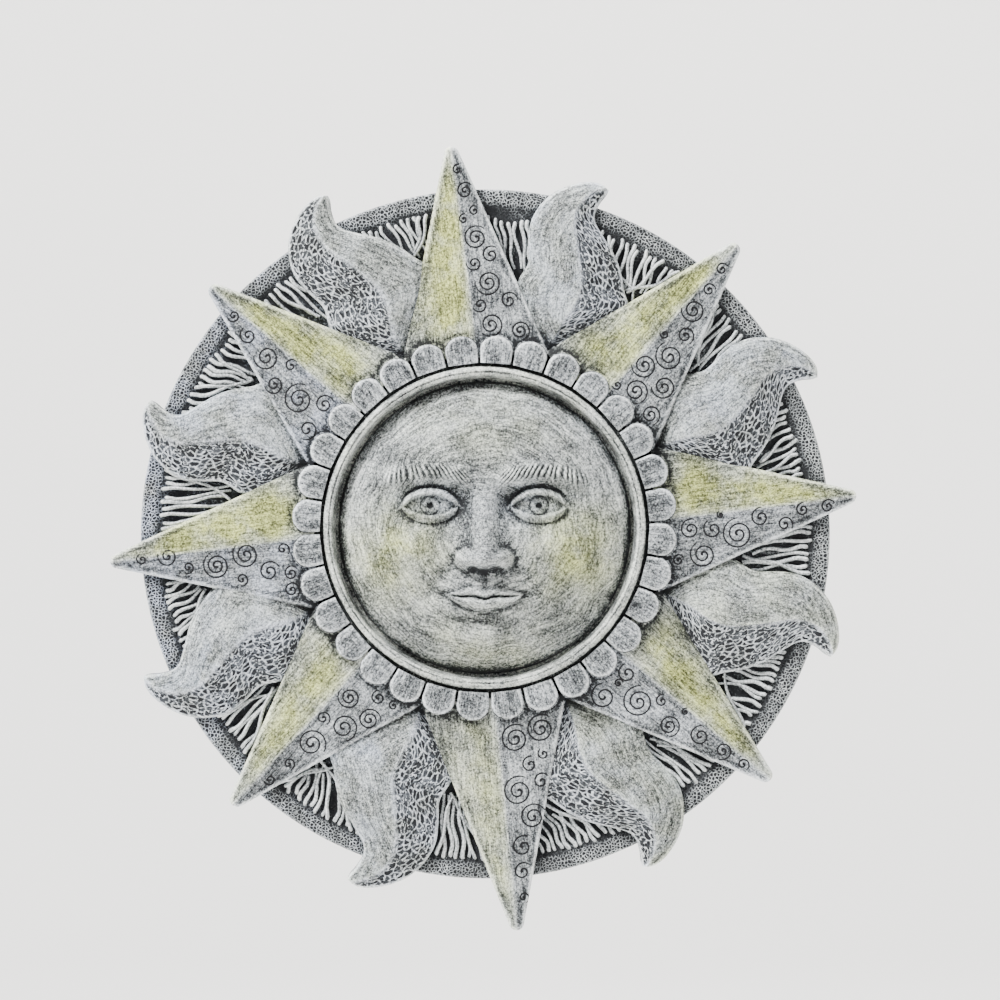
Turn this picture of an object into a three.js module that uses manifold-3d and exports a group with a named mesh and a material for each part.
// Sun face wall plaque: one stone casting with a flat back, a round plate behind sixteen points of light
// and a face in a rosette at the middle.
// Millimetres. The forms are drawn with the plaque lying on its back: x to the right, y towards the top and
// z from the back to the front. The whole is then stood up, so that its front looks along -Y and +Z is up.
// The origin is the middle of the plate's flat back, which lies against the wall.
import * as THREE from "three";
import { LoftGeometry } from "three/addons/geometries/LoftGeometry.js";
import { mergeVertices } from "three/addons/utils/BufferGeometryUtils.js";
import Module from "manifold-3d";

// Round plate with a sunk field inside its rim: heights are measured from the back
const PLATE_RADIUS = 172.6;
const PLATE_CHAMFER = 1.6;
const RIM_WIDTH = 7.4;
const RIM_HEIGHT = 12.4;
const FIELD_HEIGHT = 10.4;
const FIELD_STEP_RUN = 1;
const PLATE_SIDES = 72;

// Rosette round the face; its middle stands a little above the plate's
const ROSETTE_MIDDLE = new THREE.Vector2(-0.3, 3.2);
const FACE_RADIUS = 73;
const RECESS_WIDTH = 1.4;
const RECESS_HEIGHT = 16;
const RING_WIDTH = 5.4;
const RING_HEIGHT = 28;
const RING_ROUNDING = 1.9;
const RING_WALL_DRAFT = 1;
const GROOVE_WIDTH = 1.5;
const GROOVE_HEIGHT = 22.5;
const PETAL_COUNT = 32;
const PETAL_LENGTH = 13.5;
const PETAL_STRAIGHT = 6.2;
const PETAL_GAP = 1;
const PETAL_HEIGHT = 26.4;
const PETAL_CHAMFER = 1.3;
const PETAL_TURN = 7.45;
const ROSETTE_SIDES = 60;

// Straight rays. Each tip: its azimuth in degrees, counter-clockwise from the right about the rosette's middle,
// and how much further out it stands than the rays' common reach
const RAY_REACH = 190;
const RAY_TIPS = [
  [95.1, 1.2],
  [138.7, -7.3],
  [185.2, -2],
  [227.7, -2.5],
  [274.6, 12],
  [318.6, 0.6],
  [4.9, -3.5],
  [48.2, -0.2],
];
const RAY_ROOT_TURN = 92.8;
const RAY_ROOT_RADIUS = 92.5;
const RAY_ROOT_LAP = 0.8;
const RAY_TIP_RADIUS = 3.8;
const RAY_ROOT_EDGE = 18.8;
const RAY_TIP_EDGE = 15.6;
const RAY_ROOT_CREST = 24.8;
const RAY_TIP_CREST = 17.4;

// Wavy flames between the rays. Each tip: its azimuth, how much further out it stands than the flames' common
// reach, and how far the crest lies clockwise
const FLAME_REACH = 185;
const FLAME_TIPS = [
  [115.9, 0, 0],
  [159.7, -5, -4],
  [204.1, 2, -4],
  [249.2, 5, -5],
  [295.6, 3.6, 0],
  [340.1, 1, 0],
  [24.9, -1, 0],
  [70.4, -4, 0],
];
const FLAME_ROOT_RADIUS = 91.5;
const FLAME_ROOT_HEIGHT = 14;
const FLAME_TIP_HEIGHT = 14.6;
const FLAME_EDGE_SWELL = 1.4;
const FLAME_CREST_SWELL = 7;
const FLAME_ROOT_CREST = 0.2;
const FLAME_TIP_CREST = 1.6;
// A flame's form in hundredths of its length. Each row: leading edge, crest and trailing edge, each as a
// place along from the root and a place clockwise across
const FLAME_ROWS = [
  [0, -3, 0, 0, 0, 3],
  [18, -23, 17, 2, 20, 24],
  [32, -27.4, 31, 6, 38.5, 35.7],
  [45, -25, 41.5, 6.3, 48, 31.5],
  [55.7, -28, 51.5, 2.8, 58, 26],
  [66.5, -30.2, 62.3, -2.2, 65.5, 20],
  [77.4, -28.2, 72, -7, 72.7, 11.6],
  [87, -22.9, 80.6, -8.3, 79, 4.6],
  [94.2, -15.2, 87.7, -7, 84.4, 2.7],
  [99, -6.6, 94, -2.9, 91.2, 3.8],
  [100.5, -0.2, 98, 2.1, 95.8, 5.6],
  [100, 3.4, 99.2, 4.2, 98.5, 6.2],
];

// Strands that lie on the field in the gaps between rays and flames. Their outer ends and their lengths
// vary along the rim, and each leans a little to one side
const STRAND_WIDTH = 2.2;
const STRAND_RISE = 2.7;
const STRAND_SPACING = 4.4;
const STRAND_SHORTEST = 12;
const STRAND_LONGEST = 26;
const STRAND_END_GAP = 1.4;
const STRAND_END_SHIFT = 0.8;
const STRAND_LEAN = 6;
const STRAND_SLOPE = 1.2;

// Face: it rises from the recess by a straight edge and a dome
const FACE_EDGE_RISE = 2;
const FACE_DOME_RISE = 15.5;
const FACE_DOME_POWER = 0.6;
const FACE_COLUMNS = 26;
const FACE_ROWS = 31;
const FACE_CENTRING = 0.72;
// The features are drawn in hundredths of the face's radius, by thirds: hairline 88, brow 30, nose's base
// -27 and chin -85. Each row: height, place to each side and up, and reach across and up
const FACE_SWELLINGS = [
  [1.9, 0, 60, 44, 22], // forehead
  [-7.7, 34.3, 16, 17, 10.4], // eye socket
  [-3.6, 16.4, 17.4, 6.3, 8.8], // inner corner of the eye
  [7.1, 37, 14.7, 10.3, 6.3], // eyeball under its lids
  [6.3, 52, -18, 20.5, 18], // cheek
  [3.6, 0, -18.8, 8.2, 6.6], // tip of the nose
  [7.1, 14.5, -21.5, 5.5, 5.9], // wing of the nose
  [6.8, 0, -46.6, 24.7, 16.4], // mouth's mound
  [3.3, 0, -43.3, 15, 2.6], // upper lip
  [4.7, 0, -51.5, 13, 3], // lower lip
  [-2.7, 0, -62.8, 13.7, 3.8], // hollow below the lips
  [7.1, 0, -74, 17, 10.3], // chin
];
// Brow ridge: an arch that fades at both its ends
const BROW_HEIGHT = 4.1;
const BROW_REACH = 4.7;
const BROW_TOP = [38, 38.8];
const BROW_DROP = 0.0072;
const BROW_INNER_END = [7, 16];
const BROW_OUTER_END = [60, 74];
// Nose ridge: it widens and rises from the brow to the tip
const NOSE_TOP = 29;
const NOSE_TIP = -20;
const NOSE_UNDERSIDE = [-31, -22];
const NOSE_ROOT_RISE = 3.3;
const NOSE_ROOT_SHARE = 0.25;
const NOSE_TIP_RISE = 10.7;
const NOSE_HALF_WIDTH = [6.6, 11.3];

const STONE = new THREE.MeshStandardMaterial({ color: 0x9a9a94, roughness: 0.92, metalness: 0 });
STONE.flatShading = true;

const wasm = await Module();
wasm.setup();

const radians = THREE.MathUtils.degToRad;
const { lerp, smoothstep } = THREE.MathUtils;

// A point at a distance and azimuth from the rosette's middle.
function rosettePoint(radius, azimuth) {
  const angle = radians(azimuth);
  return new THREE.Vector2(Math.cos(angle), Math.sin(angle)).multiplyScalar(radius).add(ROSETTE_MIDDLE);
}

// A closed geometry as a solid, with its doubled vertices merged and flat triangles at its poles left out.
function solid(geometry) {
  const bare = new THREE.BufferGeometry();
  bare.setAttribute("position", geometry.attributes.position);
  bare.setIndex(geometry.index);
  const merged = mergeVertices(bare, 1e-4);
  const corners = merged.index.array;
  const kept = [];
  for (let i = 0; i < corners.length; i += 3) {
    const [a, b, c] = corners.slice(i, i + 3);
    if (a !== b && b !== c && c !== a) kept.push(a, b, c);
  }
  return new wasm.Manifold(
    new wasm.Mesh({
      numProp: 3,
      vertProperties: merged.attributes.position.array,
      triVerts: new Uint32Array(kept),
    }),
  );
}

// A profile of [radius, height] pairs turned about a vertical axis through the middle.
function turned(profile, middle, sides) {
  const points = profile.map(([radius, height]) => new THREE.Vector2(radius, height));
  const geometry = new THREE.LatheGeometry(points, sides);
  geometry.rotateX(Math.PI / 2);
  geometry.translate(middle.x, middle.y, 0);
  return solid(geometry);
}

// Round plate with a chamfered edge, sunk to the field inside its rim.
function plate() {
  const rimInside = PLATE_RADIUS - RIM_WIDTH;
  const profile = [
    [0, 0],
    [PLATE_RADIUS, 0],
    [PLATE_RADIUS, RIM_HEIGHT - PLATE_CHAMFER],
    [PLATE_RADIUS - PLATE_CHAMFER, RIM_HEIGHT],
    [rimInside, RIM_HEIGHT],
    [rimInside - FIELD_STEP_RUN, FIELD_HEIGHT],
    [0, FIELD_HEIGHT],
  ];
  return turned(profile, new THREE.Vector2(0, 0), PLATE_SIDES);
}

const ringInside = FACE_RADIUS + RECESS_WIDTH + RING_WALL_DRAFT;
const ringOutside = ringInside + RING_WIDTH;
const petalInside = ringOutside + GROOVE_WIDTH;

// Ring with its rounded bead, the groove outside it and the recess that the face rises from.
function ring() {
  const profile = [
    [0, 0],
    [petalInside + PETAL_CHAMFER, 0],
    [petalInside + PETAL_CHAMFER, GROOVE_HEIGHT],
    [ringOutside, GROOVE_HEIGHT],
    [ringOutside, RING_HEIGHT - RING_ROUNDING],
    [ringOutside - RING_ROUNDING, RING_HEIGHT],
    [ringInside + RING_ROUNDING, RING_HEIGHT],
    [ringInside, RING_HEIGHT - RING_ROUNDING],
    [ringInside - RING_WALL_DRAFT, RECESS_HEIGHT],
    [0, RECESS_HEIGHT],
  ];
  return turned(profile, ROSETTE_MIDDLE, ROSETTE_SIDES);
}

// One petal: straight sides along the radius, and an arched outer end.
function petal(index) {
  const halfPitch = Math.PI / PETAL_COUNT;
  const inset = PETAL_CHAMFER;
  const inner = petalInside + inset;
  const shoulder = petalInside + PETAL_STRAIGHT;
  const halfWidthAt = (radius) => radius * Math.tan(halfPitch) - PETAL_GAP / 2 - inset;
  const arch = PETAL_LENGTH - PETAL_STRAIGHT - inset;
  const outline = new THREE.Shape();
  outline.moveTo(inner, -halfWidthAt(inner));
  outline.lineTo(shoulder, -halfWidthAt(shoulder));
  outline.absellipse(shoulder, 0, arch, halfWidthAt(shoulder), -Math.PI / 2, Math.PI / 2, false);
  outline.lineTo(inner, halfWidthAt(inner));
  outline.closePath();
  const geometry = new THREE.ExtrudeGeometry(outline, {
    depth: PETAL_HEIGHT - FIELD_HEIGHT,
    bevelThickness: PETAL_CHAMFER,
    bevelSize: inset,
    bevelSegments: 1,
    curveSegments: 3,
  });
  geometry.translate(0, 0, FIELD_HEIGHT - PETAL_CHAMFER);
  geometry.rotateZ(radians(PETAL_TURN) + index * 2 * halfPitch);
  geometry.translate(ROSETTE_MIDDLE.x, ROSETTE_MIDDLE.y, 0);
  return solid(geometry);
}

// A form with upright sides from the back, lofted through rows of its two edges and its crest.
function ridged(rows) {
  const sections = rows.map(({ left, crest, right, edgeHeight, crestHeight }) => [
    new THREE.Vector3(left.x, left.y, 0),
    new THREE.Vector3(left.x, left.y, edgeHeight),
    new THREE.Vector3(crest.x, crest.y, crestHeight),
    new THREE.Vector3(right.x, right.y, edgeHeight),
    new THREE.Vector3(right.x, right.y, 0),
  ]);
  return solid(new LoftGeometry(sections, { capStart: true, capEnd: true }));
}

// One straight ray: its sides run straight from the root's corners, and its tip is an arc between them.
function ray([azimuth, further], index) {
  const pitch = 360 / RAY_TIPS.length;
  const rootTurn = RAY_ROOT_TURN + index * pitch;
  const left = rosettePoint(RAY_ROOT_RADIUS, rootTurn + pitch / 2 + RAY_ROOT_LAP);
  const right = rosettePoint(RAY_ROOT_RADIUS, rootTurn - pitch / 2 - RAY_ROOT_LAP);
  const root = left.clone().lerp(right, 0.5);
  const tip = rosettePoint(RAY_REACH + further, azimuth);
  const length = root.distanceTo(tip);
  const halfRoot = left.distanceTo(right) / 2;
  const slope = Math.atan2(halfRoot, length);
  const tangent = RAY_TIP_RADIUS * (1 - Math.sin(slope));
  const spread = (halfRoot - RAY_TIP_RADIUS * Math.cos(slope)) / (length - tangent);
  const halfWidth = (fromTip) =>
    fromTip > tangent
      ? RAY_TIP_RADIUS * Math.cos(slope) + (fromTip - tangent) * spread
      : Math.sqrt(RAY_TIP_RADIUS ** 2 - (RAY_TIP_RADIUS - fromTip) ** 2);
  const fromTips = [length, length / 2, tangent, tangent * 0.5, tangent * 0.08];
  const rows = fromTips.map((fromTip) => {
    const share = 1 - fromTip / length;
    const middle = root.clone().lerp(tip, share);
    const width = halfWidth(fromTip) / halfRoot;
    return {
      left: middle.clone().addScaledVector(left.clone().sub(root), width),
      crest: middle,
      right: middle.clone().addScaledVector(right.clone().sub(root), width),
      edgeHeight: lerp(RAY_ROOT_EDGE, RAY_TIP_EDGE, share),
      crestHeight: lerp(RAY_ROOT_CREST, RAY_TIP_CREST, share),
    };
  });
  return ridged(rows);
}

// One flame: the drawn rows stretched to its length, and swung so that its tip comes to its own azimuth.
function flame([azimuth, further, crestShift], index) {
  const pitch = 360 / FLAME_TIPS.length;
  const rootTurn = RAY_ROOT_TURN + (index + 0.5) * pitch;
  const outward = rosettePoint(1, rootTurn).sub(ROSETTE_MIDDLE);
  const clockwise = new THREE.Vector2(outward.y, -outward.x);
  const tipRadius = FLAME_REACH + further;
  const length = tipRadius - FLAME_ROOT_RADIUS;
  const last = FLAME_ROWS[FLAME_ROWS.length - 1];
  const swing = (Math.tan(radians(rootTurn - azimuth)) * tipRadius) / length - last[3] / 100;
  const place = (along, across) =>
    ROSETTE_MIDDLE.clone()
      .addScaledVector(outward, FLAME_ROOT_RADIUS + (along / 100) * length)
      .addScaledVector(clockwise, (across / 100 + (swing * along) / 100) * length);
  const rows = FLAME_ROWS.map(([leadAlong, leadAcross, crestAlong, crestAcross, trailAlong, trailAcross]) => {
    const share = crestAlong / 100;
    const swell = Math.sin(Math.PI * share);
    const edgeHeight = lerp(FLAME_ROOT_HEIGHT, FLAME_TIP_HEIGHT, share) + FLAME_EDGE_SWELL * swell;
    const crestRise = lerp(FLAME_ROOT_CREST, FLAME_TIP_CREST, share);
    return {
      left: place(leadAlong, leadAcross),
      crest: place(crestAlong, crestAcross).addScaledVector(clockwise, crestShift * swell),
      right: place(trailAlong, trailAcross),
      edgeHeight,
      crestHeight: edgeHeight + crestRise + FLAME_CREST_SWELL * swell * (1 - share / 3),
    };
  });
  return ridged(rows);
}

// One strand: a three-sided bar on the field, with sloped ends.
function strand(outer, inner) {
  const along = inner.clone().sub(outer).normalize();
  const side = new THREE.Vector2(-along.y, along.x).multiplyScalar(STRAND_WIDTH / 2);
  const foot = FIELD_HEIGHT - STRAND_SLOPE;
  const bar = (point, ridgePoint) => [
    new THREE.Vector3(point.x + side.x, point.y + side.y, foot),
    new THREE.Vector3(ridgePoint.x, ridgePoint.y, FIELD_HEIGHT + STRAND_RISE),
    new THREE.Vector3(point.x - side.x, point.y - side.y, foot),
  ];
  const sections = [
    bar(outer, outer.clone().addScaledVector(along, STRAND_SLOPE)),
    bar(inner, inner.clone().addScaledVector(along, -STRAND_SLOPE)),
  ];
  return solid(new LoftGeometry(sections, { capStart: true, capEnd: true }));
}

// Strands fill the field under the rim in the sectors between the middles of rays and flames, which hide
// what runs under them.
function strands() {
  const bars = [];
  const reach = PLATE_RADIUS - RIM_WIDTH - FIELD_STEP_RUN - STRAND_END_GAP;
  const sectors = RAY_TIPS.length * 2;
  const sectorTurn = radians(360 / sectors);
  const count = Math.round((reach * sectorTurn) / STRAND_SPACING);
  for (let order = 0; order < sectors * count; order += 1) {
    const vary = Math.sin(order * 2.4);
    const angle = radians(RAY_ROOT_TURN) + ((order + 0.5 + vary * 0.15) / count) * sectorTurn;
    const length = lerp(STRAND_SHORTEST, STRAND_LONGEST, 0.5 + 0.5 * Math.sin(order * 1.7));
    const outward = new THREE.Vector2(Math.cos(angle), Math.sin(angle));
    const outer = outward.clone().multiplyScalar(reach - vary * STRAND_END_SHIFT);
    const lean = outward.clone().rotateAround(new THREE.Vector2(), radians(STRAND_LEAN) * vary);
    bars.push(strand(outer, outer.clone().addScaledVector(lean, -length)));
  }
  return bars;
}

// The height of all swellings at a place to one side of the face's middle and up from it.
function swellings(side, up) {
  return FACE_SWELLINGS.reduce((sum, [height, placeSide, placeUp, reachSide, reachUp]) => {
    const far = ((side - placeSide) / reachSide) ** 2 + ((up - placeUp) / reachUp) ** 2;
    return sum + height * Math.exp(-far / 2);
  }, 0);
}

// The brow ridge's height at a place.
function browRidge(side, up) {
  const arch = BROW_TOP[1] - BROW_DROP * (side - BROW_TOP[0]) ** 2;
  const span = smoothstep(side, ...BROW_INNER_END) * (1 - smoothstep(side, ...BROW_OUTER_END));
  return BROW_HEIGHT * span * Math.exp(-(((up - arch) / BROW_REACH) ** 2) / 2);
}

// The nose ridge's height at a place.
function noseRidge(side, up) {
  const down = THREE.MathUtils.clamp((NOSE_TOP - up) / (NOSE_TOP - NOSE_TIP), 0, 1);
  const rise = NOSE_ROOT_RISE * smoothstep(down, 0, NOSE_ROOT_SHARE) + NOSE_TIP_RISE * down ** 1.4;
  const halfWidth = lerp(NOSE_HALF_WIDTH[0], NOSE_HALF_WIDTH[1], down);
  return rise * Math.exp(-((side / halfWidth) ** 2.3)) * smoothstep(up, ...NOSE_UNDERSIDE);
}

// The face's height above the recess at x, y from its middle.
function faceHeight(x, y) {
  const unit = FACE_RADIUS / 100;
  const side = Math.abs(x) / unit;
  const up = y / unit;
  const inside = Math.max(0, 1 - (x * x + y * y) / FACE_RADIUS ** 2);
  const dome = FACE_EDGE_RISE + FACE_DOME_RISE * inside ** FACE_DOME_POWER;
  return dome + unit * (swellings(side, up) + browRidge(side, up) + noseRidge(side, up));
}

// The face: a block's grid, closer at its middle, rounded to a disc and raised to the face's height.
function face() {
  const geometry = new THREE.BoxGeometry(2, 2, 2, FACE_COLUMNS, FACE_ROWS, 1);
  const place = geometry.attributes.position;
  const centred = (t) => FACE_CENTRING * t + (1 - FACE_CENTRING) * t ** 3;
  for (let i = 0; i < place.count; i += 1) {
    const u = centred(place.getX(i));
    const v = centred(place.getY(i));
    const x = FACE_RADIUS * u * Math.sqrt(1 - (v * v) / 2);
    const y = FACE_RADIUS * v * Math.sqrt(1 - (u * u) / 2);
    const top = place.getZ(i) > 0;
    place.setXYZ(i, x, y, top ? RECESS_HEIGHT + faceHeight(x, y) : FIELD_HEIGHT);
  }
  geometry.translate(ROSETTE_MIDDLE.x, ROSETTE_MIDDLE.y, 0);
  return solid(geometry);
}

// The whole casting as one body.
function sunPlaque() {
  const petals = Array.from({ length: PETAL_COUNT }, (_, index) => petal(index));
  const points = [...RAY_TIPS.map(ray), ...FLAME_TIPS.map(flame)];
  const forms = [plate(), ring(), face(), ...petals, ...points, ...strands()];
  const casting = wasm.Manifold.union(forms).getMesh();
  const geometry = new THREE.BufferGeometry();
  geometry.setAttribute("position", new THREE.BufferAttribute(casting.vertProperties, 3));
  geometry.setIndex(new THREE.BufferAttribute(casting.triVerts, 1));
  geometry.computeVertexNormals();
  const mesh = new THREE.Mesh(geometry, STONE);
  mesh.name = "sun_plaque";
  return mesh;
}

const plaque = new THREE.Group();
plaque.add(sunPlaque());
plaque.rotation.x = Math.PI / 2;

export default plaque;
